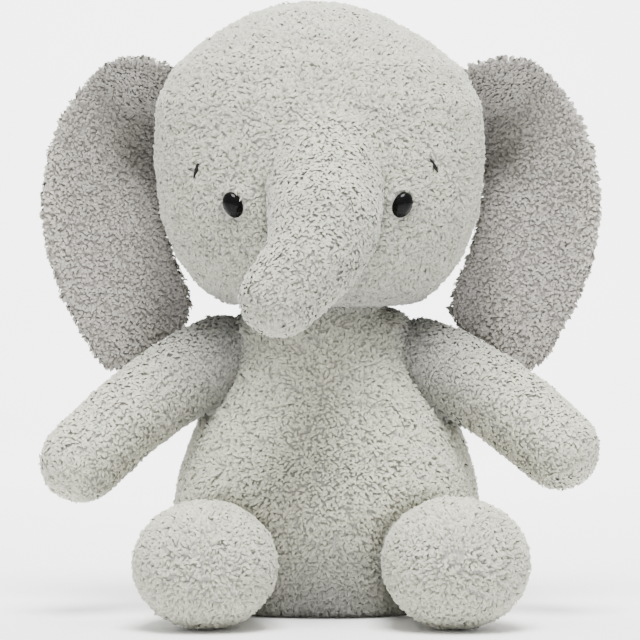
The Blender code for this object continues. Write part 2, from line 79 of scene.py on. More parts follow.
# pile
RNG = np.random.default_rng(20)
PILE_SIZE = (0.00115, 0.0024, 0.00135)  # spacing, length and width of the locks
EAR_PILE_SIZE = (0.00120, 0.0021, 0.0015)
LOCK_LEAN = 1.18  # radians from standing straight up
EAR_LEAN = 1.08
WHORL_RISE = 0.32  # how much less the locks lean at a whorl
SKIN_SHADING = 0.60  # how far the locks take the light as the skin under them does
LOCK_STATIONS = ((-0.10, 0.0, 0.85), (0.55, 0.35, 1.0))  # reach, drift and fatness at foot and waist
LOCK_ALONG = (0, 0, 0, 0.6, 0.6, 0.6, 1.0)  # how far along the lock each of its points is
LOCK_POINTS = len(LOCK_ALONG)
LOCK_FACES = np.array(((0, 3, 4), (0, 4, 1), (1, 4, 5), (1, 5, 2), (3, 6, 4), (4, 6, 5)))
FLOOR_GAP = 0.0002
PILE_FLOOR = 0.0016  # no lock grows below this height


# ---------------------------------------------------------------- materials


def tree_of(name):
    """A new node material with its tree and its main shader."""
    mat = bpy.data.materials.new(name)
    mat.use_nodes = True
    tree = mat.node_tree
    return mat, tree, tree.nodes["Principled BSDF"]


def noise_node(tree, scale, detail=3.0, rough=0.55):
    coords = tree.nodes.new("ShaderNodeTexCoord")
    node = tree.nodes.new("ShaderNodeTexNoise")
    node.inputs["Scale"].default_value = scale
    node.inputs["Detail"].default_value = detail
    node.inputs["Roughness"].default_value = rough
    tree.links.new(coords.outputs["Object"], node.inputs["Vector"])
    return node


def ranged(tree, socket, low, high, from_low=0.0, from_high=1.0):
    node = tree.nodes.new("ShaderNodeMapRange")
    node.inputs["From Min"].default_value = from_low
    node.inputs["From Max"].default_value = from_high
    node.inputs["To Min"].default_value = low
    node.inputs["To Max"].default_value = high
    tree.links.new(socket, node.inputs["Value"])
    return node.outputs["Result"]


def mixed(tree, factor, first, second, blend="MIX"):
    node = tree.nodes.new("ShaderNodeMix")
    node.data_type = "RGBA"
    node.blend_type = blend
    for value, key in ((factor, 0), (first, 6), (second, 7)):
        if isinstance(value, bpy.types.NodeSocket):
            tree.links.new(value, node.inputs[key])
        else:
            node.inputs[key].default_value = value
    return node.outputs[2]


def add_bump(tree, shader, height, strength, distance):
    bump = tree.nodes.new("ShaderNodeBump")
    bump.inputs["Strength"].default_value = strength
    bump.inputs["Distance"].default_value = distance
    tree.links.new(height, bump.inputs["Height"])
    tree.links.new(bump.outputs["Normal"], shader.inputs["Normal"])


def cloth(name, dark, light, scale, rough=(0.85, 1.0), bump=0.0004, sheen=0.15):
    """Plain procedural surface: two tones by noise, uneven roughness and a fine bump."""
    mat, tree, shader = tree_of(name)
    wide = noise_node(tree, scale * 0.12)
    fine = noise_node(tree, scale)
    tone = mixed(tree, ranged(tree, fine.outputs["Fac"], 0.0, 1.0, 0.3, 0.7), dark, light)
    grey = ranged(tree, wide.outputs["Fac"], 0.9, 1.08)
    shade = mixed(tree, 1.0, tone, grey, "MULTIPLY")
    tree.links.new(shade, shader.inputs["Base Color"])
    tree.links.new(ranged(tree, fine.outputs["Fac"], *rough), shader.inputs["Roughness"])
    add_bump(tree, shader, fine.outputs["Fac"], 0.6, bump)
    shader.inputs["Sheen Weight"].default_value = sheen
    shader.inputs["Specular IOR Level"].default_value = 0.2
    return mat


PAINTED_SHADE_TINT = (0.0, 0.0, 0.10, 1)  # painted shade goes a more neutral grey as it darkens


def attribute(tree, key):
    node = tree.nodes.new("ShaderNodeAttribute")
    node.attribute_name = key
    return node.outputs["Fac"]


def pile_material(name, gap, body, tip):
    """Locks of pile: light at the tips and darker towards the roots, that darkening being painted shade
    down in the pile; each lock its own tone; times the painted shade and light of the shade attribute.
    """
    mat, tree, shader = tree_of(name)
    along, lock, painted_shading = (attribute(tree, key) for key in ("along", "lock", "shade"))
    # painted shade: each lock darkens from tip to root
    low = mixed(tree, ranged(tree, along, 0.0, 1.0, 0.0, 0.55), gap, body)
    tone = mixed(tree, ranged(tree, along, 0.0, 1.0, 0.45, 1.0), low, tip)
    own = mixed(tree, 1.0, tone, ranged(tree, lock, 0.84, 1.10), "MULTIPLY")
    # painted shade and painted light from the shade attribute: below one darker, above one lighter
    painted_tint = mixed(tree, painted_shading, PAINTED_SHADE_TINT, (1.0, 1.0, 1.0, 1))
    painted_tint.node.clamp_factor = False
    own = mixed(tree, 1.0, own, painted_tint, "MULTIPLY")
    wide = noise_node(tree, 45.0)
    shade = mixed(tree, 1.0, own, ranged(tree, wide.outputs["Fac"], 0.92, 1.07), "MULTIPLY")
    tree.links.new(shade, shader.inputs["Base Color"])
    fine = noise_node(tree, 2600.0, 2.0)
    tree.links.new(ranged(tree, fine.outputs["Fac"], 0.82, 1.0), shader.inputs["Roughness"])
    add_bump(tree, shader, fine.outputs["Fac"], 0.5, 0.00015)
    shader.inputs["Sheen Weight"].default_value = 0.25
    shader.inputs["Sheen Roughness"].default_value = 0.5
    shader.inputs["Specular IOR Level"].default_value = 0.15
    return mat


def eye_material():
    """Glossy black plastic."""
    mat, tree, shader = tree_of("eye_gloss")
    fine = noise_node(tree, 900.0, 2.0)
    tone = mixed(tree, fine.outputs["Fac"], (0.0015, 0.0015, 0.0015, 1), (0.004, 0.004, 0.004, 1))
    tree.links.new(tone, shader.inputs["Base Color"])
    tree.links.new(ranged(tree, fine.outputs["Fac"], 0.05, 0.12), shader.inputs["Roughness"])
    add_bump(tree, shader, fine.outputs["Fac"], 0.04, 0.00002)
    shader.inputs["Specular IOR Level"].default_value = 0.09
    return mat


# Gap and body are the tip's grey darkened: painted shade down in the pile.
PILE = pile_material(
    "plush_pile",
    gap=(0.315, 0.312, 0.250, 1),
    body=(0.465, 0.462, 0.372, 1),
    tip=(0.598, 0.595, 0.482, 1),
)
# Front of the ears: a pinker grey than the body's pile, the lining's own colour, made darker as painted
# shade over the ear's front; gap and body are the tip darkened as painted shade in the pile.
EAR_PILE = pile_material(
    "ear_pile",
    gap=(0.158, 0.147, 0.128, 1),
    body=(0.278, 0.262, 0.232, 1),
    tip=(0.445, 0.426, 0.383, 1),
)
BACKING = cloth("plush_backing", (0.36, 0.35, 0.315, 1), (0.46, 0.45, 0.405, 1), 1500.0)
EAR_BACKING = cloth("ear_backing", (0.30, 0.28, 0.26, 1), (0.38, 0.36, 0.335, 1), 1500.0)
SEAT_CLOTH = cloth("seat_cloth", (0.36, 0.35, 0.32, 1), (0.50, 0.49, 0.45, 1), 900.0)
FIBRE = cloth("white_fibre", (0.72, 0.72, 0.70, 1), (0.88, 0.88, 0.86, 1), 260.0, bump=0.0012)
BEAN_CLOTH = cloth("bean_pouch", (0.62, 0.60, 0.54, 1), (0.78, 0.76, 0.70, 1), 1300.0)
NYLON = cloth("washer_nylon", (0.66, 0.66, 0.64, 1), (0.76, 0.76, 0.74, 1), 300.0, (0.35, 0.5), 0.0001, 0.0)
BLACK = (0.003, 0.003, 0.003, 1), (0.012, 0.012, 0.012, 1)
BLACK_THREAD = cloth("black_thread", *BLACK, 3000.0, (0.6, 0.85), sheen=0.0)
GREY_THREAD = cloth("grey_thread", (0.34, 0.33, 0.30, 1), (0.46, 0.45, 0.42, 1), 3000.0, (0.6, 0.8))
EYE = eye_material()


def dress(names, mat):
    """Give CAD nodes that stay in view a better material."""
    for name in names:
        obj = bpy.data.objects[name]
        obj.data.materials.clear()
        obj.data.materials.append(mat)


# ---------------------------------------------------------------- skins


def node_points(names):
    return np.concatenate([np.array([v.co for v in bpy.data.objects[n].data.vertices]) for n in names])


def new_object(name, bm):
    mesh = bpy.data.meshes.new(name)
    bm.to_mesh(mesh)
    bm.free()
    obj = bpy.data.objects.new(name, mesh)
    bpy.context.scene.collection.objects.link(obj)
    return obj


def add_hull(bm, points):
    """Convex body around the given points."""
    part = bmesh.new()
    for p in points:
        part.verts.new(p)
    bmesh.ops.convex_hull(part, input=part.verts)
    loose = [v for v in part.verts if not v.link_faces]
    bmesh.ops.delete(part, geom=loose, context="VERTS")
    mesh = bpy.data.meshes.new("hull")
    part.to_mesh(mesh)
    part.free()
    bm.from_mesh(mesh)
    bpy.data.meshes.remove(mesh)


def add_ball(bm, centre, radius):
    place = Matrix.Translation(Vector(centre))
    bmesh.ops.create_uvsphere(bm, u_segments=32, v_segments=20, radius=radius, matrix=place)


def add_tube(bm, path, steps=10):
    """Chain of overlapping balls along rows of x, y, z, radius."""
    for a, b in zip(path, path[1:]):
        for k in range(steps):
            x, y, z, radius = np.array(a) + (np.array(b) - np.array(a)) * k / steps
            add_ball(bm, (x, y, z), radius)
    add_ball(bm, path[-1][:3], path[-1][3])


def join_rings(bm, low, high):
    """Faces between two rings of the same number of points."""
    for k in range(len(low)):
        j = (k + 1) % len(low)
        bm.faces.new((low[k], low[j], high[j], high[k]))


def applied(obj):
    """Replace the mesh by its evaluated one, with no modifiers left."""
    graph = bpy.context.evaluated_depsgraph_get()
    mesh = bpy.data.meshes.new_from_object(obj.evaluated_get(graph))
    obj.modifiers.clear()
    obj.data = mesh


def rounded(obj, voxel, smooth, shape=None):
    """Even mesh around the joined solids, relaxed, then shaped by a function of its points."""
    mod = obj.modifiers.new("even", "REMESH")
    mod.mode = "VOXEL"
    mod.voxel_size = voxel
    relax = obj.modifiers.new("relax", "SMOOTH")
    relax.factor = 0.5
    relax.iterations = smooth
    applied(obj)
    if shape:
        co = points_of(obj)
        normal = normals_of(obj)
        obj.data.vertices.foreach_set("co", shape(co, normal).astype(np.float32).ravel())
        obj.data.update()
    obj.data.shade_smooth()
    return obj


def points_of(obj):
    co = np.empty(len(obj.data.vertices) * 3, np.float32)
    obj.data.vertices.foreach_get("co", co)
    return co.reshape(-1, 3).astype(float)


def normals_of(obj):
    out = np.empty(len(obj.data.vertices) * 3, np.float32)
    obj.data.vertex_normals.foreach_get("vector", out)
    return out.reshape(-1, 3).astype(float)


def clearance(co, path):
    """Distance of each point from a chain of balls, less than nothing inside it."""
    clear = np.full(len(co), 1.0)
    for a, b in zip(path, path[1:]):
        a, b = np.array(a), np.array(b)
        line = b[:3] - a[:3]
        share = np.clip(((co - a[:3]) @ line) / (line @ line), 0, 1)
        near = np.linalg.norm(co - a[:3] - line * share[:, None], axis=1)
        clear = np.minimum(clear, near - a[3] - (b[3] - a[3]) * share)
    return clear


def crease(co, path, depth):
    """How far to sink points that lie just outside a chain of balls."""
    clear = clearance(co, path)
    fade = np.exp(-((np.maximum(clear - 0.0016, 0.0) / 0.0026) ** 2))
    return depth * fade * np.clip((clear - 0.0004) / 0.0010, 0, 1)


# ---------------------------------------------------------------- pile


def sample_surface(obj, spacing):
    """Evenly scattered points on a mesh with their normals: one per small cell of space."""
    mesh = obj.data
    mesh.calc_loop_triangles()
    tri = np.empty(len(mesh.loop_triangles) * 3, np.int32)
    mesh.loop_triangles.foreach_get("vertices", tri)
    tri = tri.reshape(-1, 3)
    co = points_of(obj)
    normal = normals_of(obj)
    corners = co[tri]
    cross = np.cross(corners[:, 1] - corners[:, 0], corners[:, 2] - corners[:, 0])
    area = np.linalg.norm(cross, axis=1) / 2.0
    count = int(area.sum() / spacing**2 * 3.2)
    pick = RNG.choice(len(tri), count, p=area / area.sum())
    u, v = RNG.random(count), RNG.random(count)
    flip = u + v > 1.0
    u[flip], v[flip] = 1.0 - u[flip], 1.0 - v[flip]
    weight = np.stack((1.0 - u - v, u, v), 1)[:, :, None]
    place = (corners[pick] * weight).sum(1)
    up = (normal[tri[pick]] * weight).sum(1)
    up /= np.linalg.norm(up, axis=1)[:, None]
    cell = np.floor(place / spacing + RNG.random(3)).astype(np.int64)
    key = (cell[:, 0] * 4099 + cell[:, 1]) * 4099 + cell[:, 2]
    keep = np.unique(key, return_index=True)[1]
    return place[keep], up[keep]


def ripple(points, wavelength, seed):
    """Smooth random value over space, about -1 to 1."""
    rng = np.random.default_rng(seed)
    total = np.zeros(len(points))
    for _ in range(6):
        direction = rng.normal(size=3)
        direction /= np.linalg.norm(direction)
        pace = math.tau / (wavelength * rng.uniform(0.7, 1.4))
        total += np.sin(points @ direction * pace + rng.uniform(0.0, math.tau))
    return total / 2.6


def locks(name, place, up, nap, length, width, lean, tone, mat):
    """Mesh of small curved tapering locks, each a leaf arched across, standing on the given points."""
    count = len(place)
    flow = nap(place)
    flow -= up * (flow * up).sum(1)[:, None]
    size = np.linalg.norm(flow, axis=1)[:, None]
    flow = np.where(size > 1e-6, flow / np.maximum(size, 1e-6), up[:, [1, 2, 0]])
    side = np.cross(up, flow)
    turn = ripple(place, 0.007, 5) * 0.9 + RNG.normal(size=count) * 0.75
    ahead = flow * np.cos(turn)[:, None] + side * np.sin(turn)[:, None]
    across = np.cross(up, ahead)
    grow = 1.0 + 0.22 * RNG.normal(size=count) + 0.12 * ripple(place, 0.012, 8)
    grow = length * np.clip(grow, 0.45, 1.6)
    lean = lean(place) if callable(lean) else lean
    tilt = np.clip(lean + 0.16 * RNG.normal(size=count), 0.1, 1.40)
    wide = width * np.clip(1.0 + 0.18 * RNG.normal(size=count), 0.6, 1.5)
    bend = RNG.normal(size=count) * 0.35
    verts = np.empty((count, LOCK_POINTS, 3))
    for ring, (reach, drift, fat) in enumerate(LOCK_STATIONS):
        middle = place + up * (reach * np.cos(tilt * 0.7) * grow)[:, None]
        middle += ahead * (reach * np.sin(tilt * 0.7) * grow)[:, None]
        middle += across * (bend * drift * grow)[:, None]
        half = (wide * fat * 0.5)[:, None]
        verts[:, ring * 3] = middle - across * half
        verts[:, ring * 3 + 1] = middle + up * half * 0.8
        verts[:, ring * 3 + 2] = middle + across * half
    tip = place + up * (np.cos(tilt) * grow * 0.95)[:, None] + ahead * (np.sin(tilt) * grow)[:, None]
    verts[:, 6] = tip + across * (bend * 0.9 * grow)[:, None]
    verts[:, :, 2] = np.maximum(verts[:, :, 2], FLOOR_GAP)
    index = (np.arange(count)[:, None, None] * LOCK_POINTS + LOCK_FACES[None]).reshape(-1)
    mesh = bpy.data.meshes.new(name)
    mesh.vertices.add(count * LOCK_POINTS)
    mesh.vertices.foreach_set("co", verts.astype(np.float32).ravel())
    total = count * len(LOCK_FACES)
    mesh.loops.add(total * 3)
    mesh.loops.foreach_set("vertex_index", index.astype(np.int32))
    mesh.polygons.add(total)
    mesh.polygons.foreach_set("loop_start", np.arange(0, total * 3, 3, dtype=np.int32))
    mesh.polygons.foreach_set("use_smooth", np.ones(total, bool))
    mesh.update(calc_edges=True)
    own = np.empty(count * LOCK_POINTS * 3, np.float32)
    mesh.vertex_normals.foreach_get("vector", own)
    soft = np.repeat(up, LOCK_POINTS, axis=0) * SKIN_SHADING + own.reshape(-1, 3) * (1.0 - SKIN_SHADING)
    soft /= np.linalg.norm(soft, axis=1)[:, None]
    mesh.normals_split_custom_set_from_vertices(soft)
    # tone is painted shade and light, kept in the shade attribute
    shades = tone(place) if tone else np.ones(count)
    for key, values in (
        ("along", np.tile(LOCK_ALONG, count)),
        ("lock", np.repeat(RNG.random(count), LOCK_POINTS)),
        ("shade", np.repeat(shades, LOCK_POINTS)),
    ):
        mesh.attributes.new(key, "FLOAT", "POINT").data.foreach_set("value", values.astype(np.float32))
    mesh.materials.append(mat)
    obj = bpy.data.objects.new(name, mesh)
    bpy.context.scene.collection.objects.link(obj)
    return obj


def pile_on(name, skin, nap, mat=PILE, size=PILE_SIZE, lean=LOCK_LEAN, tone=None, keep=None):
    """Cover a skin with locks. keep says which points get one, tone how much painted shade and light each
    lock gets.
    """
    spacing, length, width = size
    place, up = sample_surface(skin, spacing)
    if keep is not None:
        chosen = keep(place, up)
        place, up = place[chosen], up[chosen]
    return locks(name, place, up, nap, length, width, lean, tone, mat)


def fixed_nap(x, y, z):
    return lambda p: np.tile(np.array((x, y, z), float), (len(p), 1))


def radial_nap(x, y, z):
    """Pile lying outwards from a whorl."""
    return lambda p: p - np.array((x, y, z), float)


def whorl_lean(x, y, z, reach):
    """Locks lie flat except around a whorl, where they stand up."""
    centre = np.array((x, y, z), float)
    return lambda p: LOCK_LEAN - WHORL_RISE * np.exp(-((np.linalg.norm(p - centre, axis=1) / reach) ** 2))


def near(values, reach):
    """One where the values are nothing, falling smoothly to nothing past the reach."""
    return np.exp(-((np.maximum(values, 0.0) / reach) ** 2))


def off_floor(place, up):
    return place[:, 2] > PILE_FLOOR


# ---------------------------------------------------------------- torso


TORSO_PANELS = ["torso_front_left", "torso_front_right", "torso_back_left", "torso_back_right"]
SHOULDER_SLOPE = (
    (0.0200, -0.0040, 0.1050, 0.0150),
    (0.0295, -0.0060, 0.1035, 0.0150),
    (0.0460, -0.0100, 0.0950, 0.0138),
)
SEAM_DEPTH = 0.0010
SEAM_WIDTH = 0.0016
FRONT_SEAM_X = -0.0045
BACK_SEAM_X = 0.0020
ARM_CREASE = 0.0030
LEG_CREASE = 0.0022
BELLY_PUSH = 0.0040
BELLY_WHORL = (0.0, -0.045 + SHIFT, 0.055)
PILE_TOP = 0.127  # the neck above this is under the head
DARKEST = 0.36  # darkest painted shade on the torso's pile


def build_torso():
    """Pear-shaped body with sloping shoulders and the sockets of the legs."""
    bm = bmesh.new()
    add_hull(bm, node_points(TORSO_PANELS + ["seat_panel"]))
    add_ball(bm, NECK, NECK_RADIUS)
    for side in SIDES.values():
        add_tube(bm, [(x * side, y + SHIFT, z, radius) for x, y, z, radius in SHOULDER_SLOPE], 5)
        add_ball(bm, HIP * (side, 1, 1) + (HIP_OUTSET * side, 0.0, 0.0), HIP_RADIUS)

    def shape(co, normal):
        seam = np.exp(-(((co[:, 0] - FRONT_SEAM_X) / SEAM_WIDTH) ** 2)) * (co[:, 1] < 0.0)
        reach = np.clip((co[:, 2] - 0.045) / 0.02, 0, 1) * np.clip((0.112 - co[:, 2]) / 0.02, 0, 1)
        co = co - normal * (SEAM_DEPTH * seam * reach)[:, None]
        back = np.exp(-(((co[:, 0] - BACK_SEAM_X) / SEAM_WIDTH) ** 2)) * (co[:, 1] > 0.03)
        co = co - normal * (SEAM_DEPTH * back)[:, None]
        for word, side in SIDES.items():
            sunk = crease(co, arm_path(word, side), ARM_CREASE)
            sunk += crease(co, leg_path(word, side), LEG_CREASE)
            co = co - normal * sunk[:, None]
        front = np.clip((SHIFT - co[:, 1]) / 0.03, 0, 1) * np.exp(-(((co[:, 2] - 0.044) / 0.020) ** 2))
        co[:, 1] -= BELLY_PUSH * front
        co[:, 2] = np.maximum(co[:, 2], 0.0007)
        return co

    skin = rounded(new_object("torso_skin", bm), 0.0020, 6, shape)
    skin.data.materials.append(BACKING)
    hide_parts(*TORSO_PANELS)
    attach(skin, "torso")

    def nap(p):
        down = np.tile((0.0, 0.0, -1.0), (len(p), 1))
        out = (p - np.array((0.0, -0.05, 0.055))) * 14.0
        return down * 0.6 + out * (p[:, 1:2] < 0.0)

    def under_head(place, up):
        return off_floor(place, up) & (place[:, 2] < PILE_TOP)

    # Painted shade in the creases beside the arms and legs, under the chin and low on the front between the
    # feet, and painted light on the belly.
    def tone(p):
        crease_shade = np.zeros(len(p))
        for word, side in SIDES.items():
            beside_arm = clearance(p, arm_path(word, side))
            crease_shade = np.maximum(crease_shade, near(beside_arm, 0.0045) + 0.6 * near(beside_arm, 0.0018))
            crease_shade = np.maximum(crease_shade, 0.9 * near(clearance(p, leg_path(word, side)), 0.0050))
        across, height = np.abs(p[:, 0]), p[:, 2]
        front = np.clip((SHIFT - p[:, 1]) / 0.02, 0, 1)
        chin = 0.28 * near(0.122 - height, 0.016) + 0.24 * near(0.122 - height, 0.005)
        base = near(height, 0.026) * near(across, 0.034)
        belly = near(np.abs(height - 0.066), 0.034) * near(across, 0.040)
        painted_shading = 1.0 - 0.36 * crease_shade - (chin + 0.62 * base - 0.24 * belly) * front
        return np.maximum(painted_shading, DARKEST)

    whorl = whorl_lean(*BELLY_WHORL, 0.032)
    pile = pile_on("torso_pile", skin, nap, lean=whorl, tone=tone, keep=under_head)
    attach(pile, "torso")


# ---------------------------------------------------------------- head and trunk

HEAD_NODES = ["head_side_left", "head_side_right", "head_gusset", "chin_panel", "nape_panel"]
TRUNK_NODES = ["trunk_top_panel", "trunk_under_panel"]
TRUNK_GROOVE = 0.0034
TRUNK_PATH = (
    (0.0015, -0.0370 + SHIFT, 0.1900, 0.0212),
    (0.0015, -0.0465 + SHIFT, 0.1745, 0.0212),
    (0.0015, -0.0580 + SHIFT, 0.1605, 0.0208),
    (0.0012, -0.0725 + SHIFT, 0.1510, 0.0198),
    (-0.0036, -0.0850 + SHIFT, 0.1380, 0.0161),
    (-0.0156, -0.0905 + SHIFT, 0.1245, 0.0138),
)
EYE_TILT = {"left": Vector((0.45, -0.86, -0.20)), "right": Vector((-0.45, -0.86, -0.20))}
EYE_SIZE = (0.0040, 0.0052, 0.0030)
EYE_CLEAR = 0.0050  # no lock grows nearer an eye than this
EYE_INNER_CLEAR = 0.0009  # and this much more on the side of the trunk
BROW_CLEAR = 0.0018
BROW_LIFT = 0.0014
BROW_OUTSET = 0.0005
BROW_STATIONS = ((-0.05, 0.00015), (0.12, 0.0005), (0.5, 0.00075), (0.85, 0.0006), (1.15, 0.0002))
BROW_SIDES = 8


def eye_centres():
    """Middle of each eye's base, taken from the shank and dome in the CAD."""
    centres = {}
    for word in SIDES:
        points = node_points([f"eye_{word}"])
        front = points[points[:, 1] < points[:, 1].min() + 0.0052]
        middle = (front[:, 0].mean() - 0.0007 * SIDES[word], front[:, 1].max() - 0.0015, front[:, 2].mean())
        centres[word] = np.array(middle)
    return centres


def build_eyes(eyes):
    """Glossy oval domes set square to their sockets, the long way leaning in towards the trunk."""
    for word, eye in eyes.items():
        bm = bmesh.new()
        face = EYE_TILT[word].normalized()
        tall = Vector((-0.42 * SIDES[word], 0.0, -0.90))
        tall = (tall - face * tall.dot(face)).normalized()
        turn = Matrix((tall.cross(face), tall, face)).transposed().to_4x4()
        place = Matrix.Translation(Vector(eye)) @ turn @ Matrix.Diagonal((*EYE_SIZE, 1.0))
        bmesh.ops.create_uvsphere(bm, u_segments=48, v_segments=32, radius=1.0, matrix=place)
        bmesh.ops.recalc_face_normals(bm, faces=bm.faces)
        obj = new_object(f"eye_{word}_dome", bm)
        obj.data.shade_smooth()
        obj.data.materials.append(EYE)
        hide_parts(f"eye_{word}")
        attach(obj, "head")


def brow_path(word, side):
    """Inner and outer end of the brow stitch, lying on the front of the head."""
    low, high = (np.array(c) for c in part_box(f"eyebrow_{word}"))
    inner_x, outer_x = (low[0], high[0]) if side > 0 else (high[0], low[0])
    y = (low[1] + high[1]) / 2.0
    return [np.array((inner_x, y, high[2])), np.array((outer_x, y, low[2]))]


def build_brows(skin):
    """One short black stitch each side, standing a little proud of the pile."""
    for word, side in SIDES.items():
        start, end = BROWS[word]
        rings = []
        bm = bmesh.new()
        for share, radius in BROW_STATIONS:
            p = start + (end - start) * share
            _, place, normal, _ = skin.closest_point_on_mesh(Vector(p))
            centre = place + normal * BROW_LIFT - Vector((BROW_OUTSET * side, 0.0, 0.0))
            along = Vector(end - start).normalized()
            across = along.cross(normal).normalized()
            ring = []
            for k in range(BROW_SIDES):
                a = math.tau * k / BROW_SIDES
                out = across * math.cos(a) * radius + normal * math.sin(a) * radius
                ring.append(bm.verts.new(centre + out))
            rings.append(ring)
        for low, high in zip(rings, rings[1:]):
            join_rings(bm, low, high)
        bm.faces.new(rings[0])
        bm.faces.new(rings[-1])
        bmesh.ops.recalc_face_normals(bm, faces=bm.faces)
        obj = new_object(f"eyebrow_{word}_stitch", bm)
        obj.data.shade_smooth()
        obj.data.materials.append(BLACK_THREAD)
        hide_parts(f"eyebrow_{word}")
        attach(obj, "head")


BROWS = {word: brow_path(word, side) for word, side in SIDES.items()}


def build_head():
    """Head and trunk under one skin."""
    bm = bmesh.new()
    add_hull(bm, node_points(HEAD_NODES))
    add_tube(bm, TRUNK_PATH)
    eyes = eye_centres()

    def shape(co, normal):
        for word, eye in eyes.items():
            face = np.array(EYE_TILT[word].normalized())
            away = np.linalg.norm(co - eye, axis=1)
            pull = np.exp(-((away / 0.0075) ** 4))
            co = co - face * (pull * ((co - eye) @ face + 0.0004))[:, None]
        groove = crease(co, TRUNK_PATH, TRUNK_GROOVE) * np.clip((0.176 - co[:, 2]) / 0.02, 0, 1)
        return co - normal * groove[:, None]

    skin = rounded(new_object("head_skin", bm), 0.0018, 8, shape)
    skin.data.materials.append(BACKING)
    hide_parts(*HEAD_NODES, *TRUNK_NODES)

    def nap(p):
        crown = (p - np.array((0.0, SHIFT - 0.07, 0.215))) * np.array((0.4, 1.0, 0.4))
        front = p - np.array((0.0, -0.06 + SHIFT, 0.185))
        weight = np.clip((p[:, 2:3] - 0.20) / 0.03, 0, 1)
        return crown * weight + front * (1.0 - weight) + np.array((0.0, 0.0, -0.01))

    def clear_of_eyes(place):
        chosen = np.ones(len(place), bool)
        for eye in eyes.values():
            inner = EYE_INNER_CLEAR * (np.abs(place[:, 0]) < abs(eye[0]))
            chosen &= np.linalg.norm(place - eye, axis=1) > EYE_CLEAR + inner
        for start, end in BROWS.values():
            line = end - start
            share = np.clip(((place - start) @ line) / (line @ line), 0, 1)[:, None]
            chosen &= np.linalg.norm(place - start - line * share, axis=1) > BROW_CLEAR
        return chosen

    # Painted shade on the lower cheeks, beside the trunk, round the eyes, on the crown, under the chin and
    # on the bridge of the trunk.
    def tone(p):
        clear = clearance(p, TRUNK_PATH)
        cheek = np.clip((clear - 0.002) / 0.004, 0, 1) * np.clip((0.168 - p[:, 2]) / 0.04, 0, 1)
        beside = near(np.abs(clear - 0.002), 0.004) * np.clip((0.172 - p[:, 2]) / 0.02, 0, 1)
        eye = sum(near(np.linalg.norm(p - e, axis=1) - 0.004, 0.004) for e in eyes.values())
        crown = np.clip((p[:, 2] - 0.200) / 0.025, 0, 1)
        chin = near(p[:, 2] - 0.123, 0.006) * (clear > 0.003)
        bridge = near(np.abs(p[:, 2] - 0.168), 0.014) * (clear < 0.002)
        return 0.96 - 0.21 * cheek - 0.15 * beside - 0.16 * eye - 0.14 * crown - 0.16 * chin - 0.12 * bridge

    for word, side in SIDES.items():

        def on_side(place, up):
            return clear_of_eyes(place) & (place[:, 0] * side >= 0.0)

        pile = pile_on(f"head_pile_{word}", skin, nap, tone=tone, keep=on_side)
        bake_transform(pile)
    build_brows(skin)
    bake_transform(skin)
    build_eyes(eyes)


# ---------------------------------------------------------------- ears

EAR_MIDDLE = np.array((0.0860, 0.1600))
EAR_THICKNESS = 0.0028  # of each panel
EAR_RINGS = (1.0, 0.93, 0.82, 0.66, 0.45, 0.22)
EAR_TURN = 0.25  # surface facing further back than this is the back panel
EAR_OUTLINE = (
    (0.0575, 0.2030),
    (0.0565, 0.2150),
    (0.0660, 0.2190),
    (0.0770, 0.2203),
    (0.0890, 0.2165),
    (0.1005, 0.2040),
    (0.1090, 0.1860),
    (0.1122, 0.1660),
    (0.1112, 0.1470),
    (0.1058, 0.1280),
    (0.0968, 0.1095),
    (0.0862, 0.0950),
    (0.0785, 0.0950),
    (0.0650, 0.1055),
    (0.0538, 0.1135),
    (0.0535, 0.1260),
    (0.0590, 0.1390),
    (0.0640, 0.1570),
    (0.0655, 0.1810),
)


def smooth_loop(rows, steps):
    """Closed smooth curve through the rows, with so many steps between two of them."""
    pts = np.array(rows)
    out = []
    for i in range(len(pts)):
        p0, p1, p2, p3 = (pts[(i + k) % len(pts)] for k in (-1, 0, 1, 2))
        for k in range(steps):
            t = k / steps
            bend = (2 * p0 - 5 * p1 + 4 * p2 - p3) * t * t
            twist = (3 * p1 - p0 - 3 * p2 + p3) * t**3
            out.append(p1 + ((p2 - p0) * t + bend + twist) * 0.5)
    return out


def ease(value):
    """Smooth step from nothing to one."""
    value = min(1.0, max(0.0, value))
    return value * value * (3.0 - 2.0 * value)


def ear_depth(x, z, share):
    """Cupped, with a lobe folded forward at the top of the seam over a hollow, and the outer rim rolled."""
    y = 0.0090 + 0.10 * (x - 0.0665) + 0.0070 * (1.0 - share**2)
    y += 0.0170 * math.exp(-(((x - 0.0630) / 0.0170) ** 2) - ((z - 0.1860) / 0.0200) ** 2)
    y += 0.0070 * math.exp(-(((x - 0.0600) / 0.0110) ** 2)) * ease((0.190 - z) / 0.02)
    lobe = ease((z - 0.1985 - 0.75 * (x - 0.0670)) / 0.0070)
    lobe *= math.exp(-((max(0.0, x - 0.070) / 0.020) ** 2))
    y -= 0.0145 * lobe + 0.0040 * ease((z - 0.206) / 0.010)
    return y - 0.0050 * max(0.0, (x - 0.097) / 0.015) ** 2


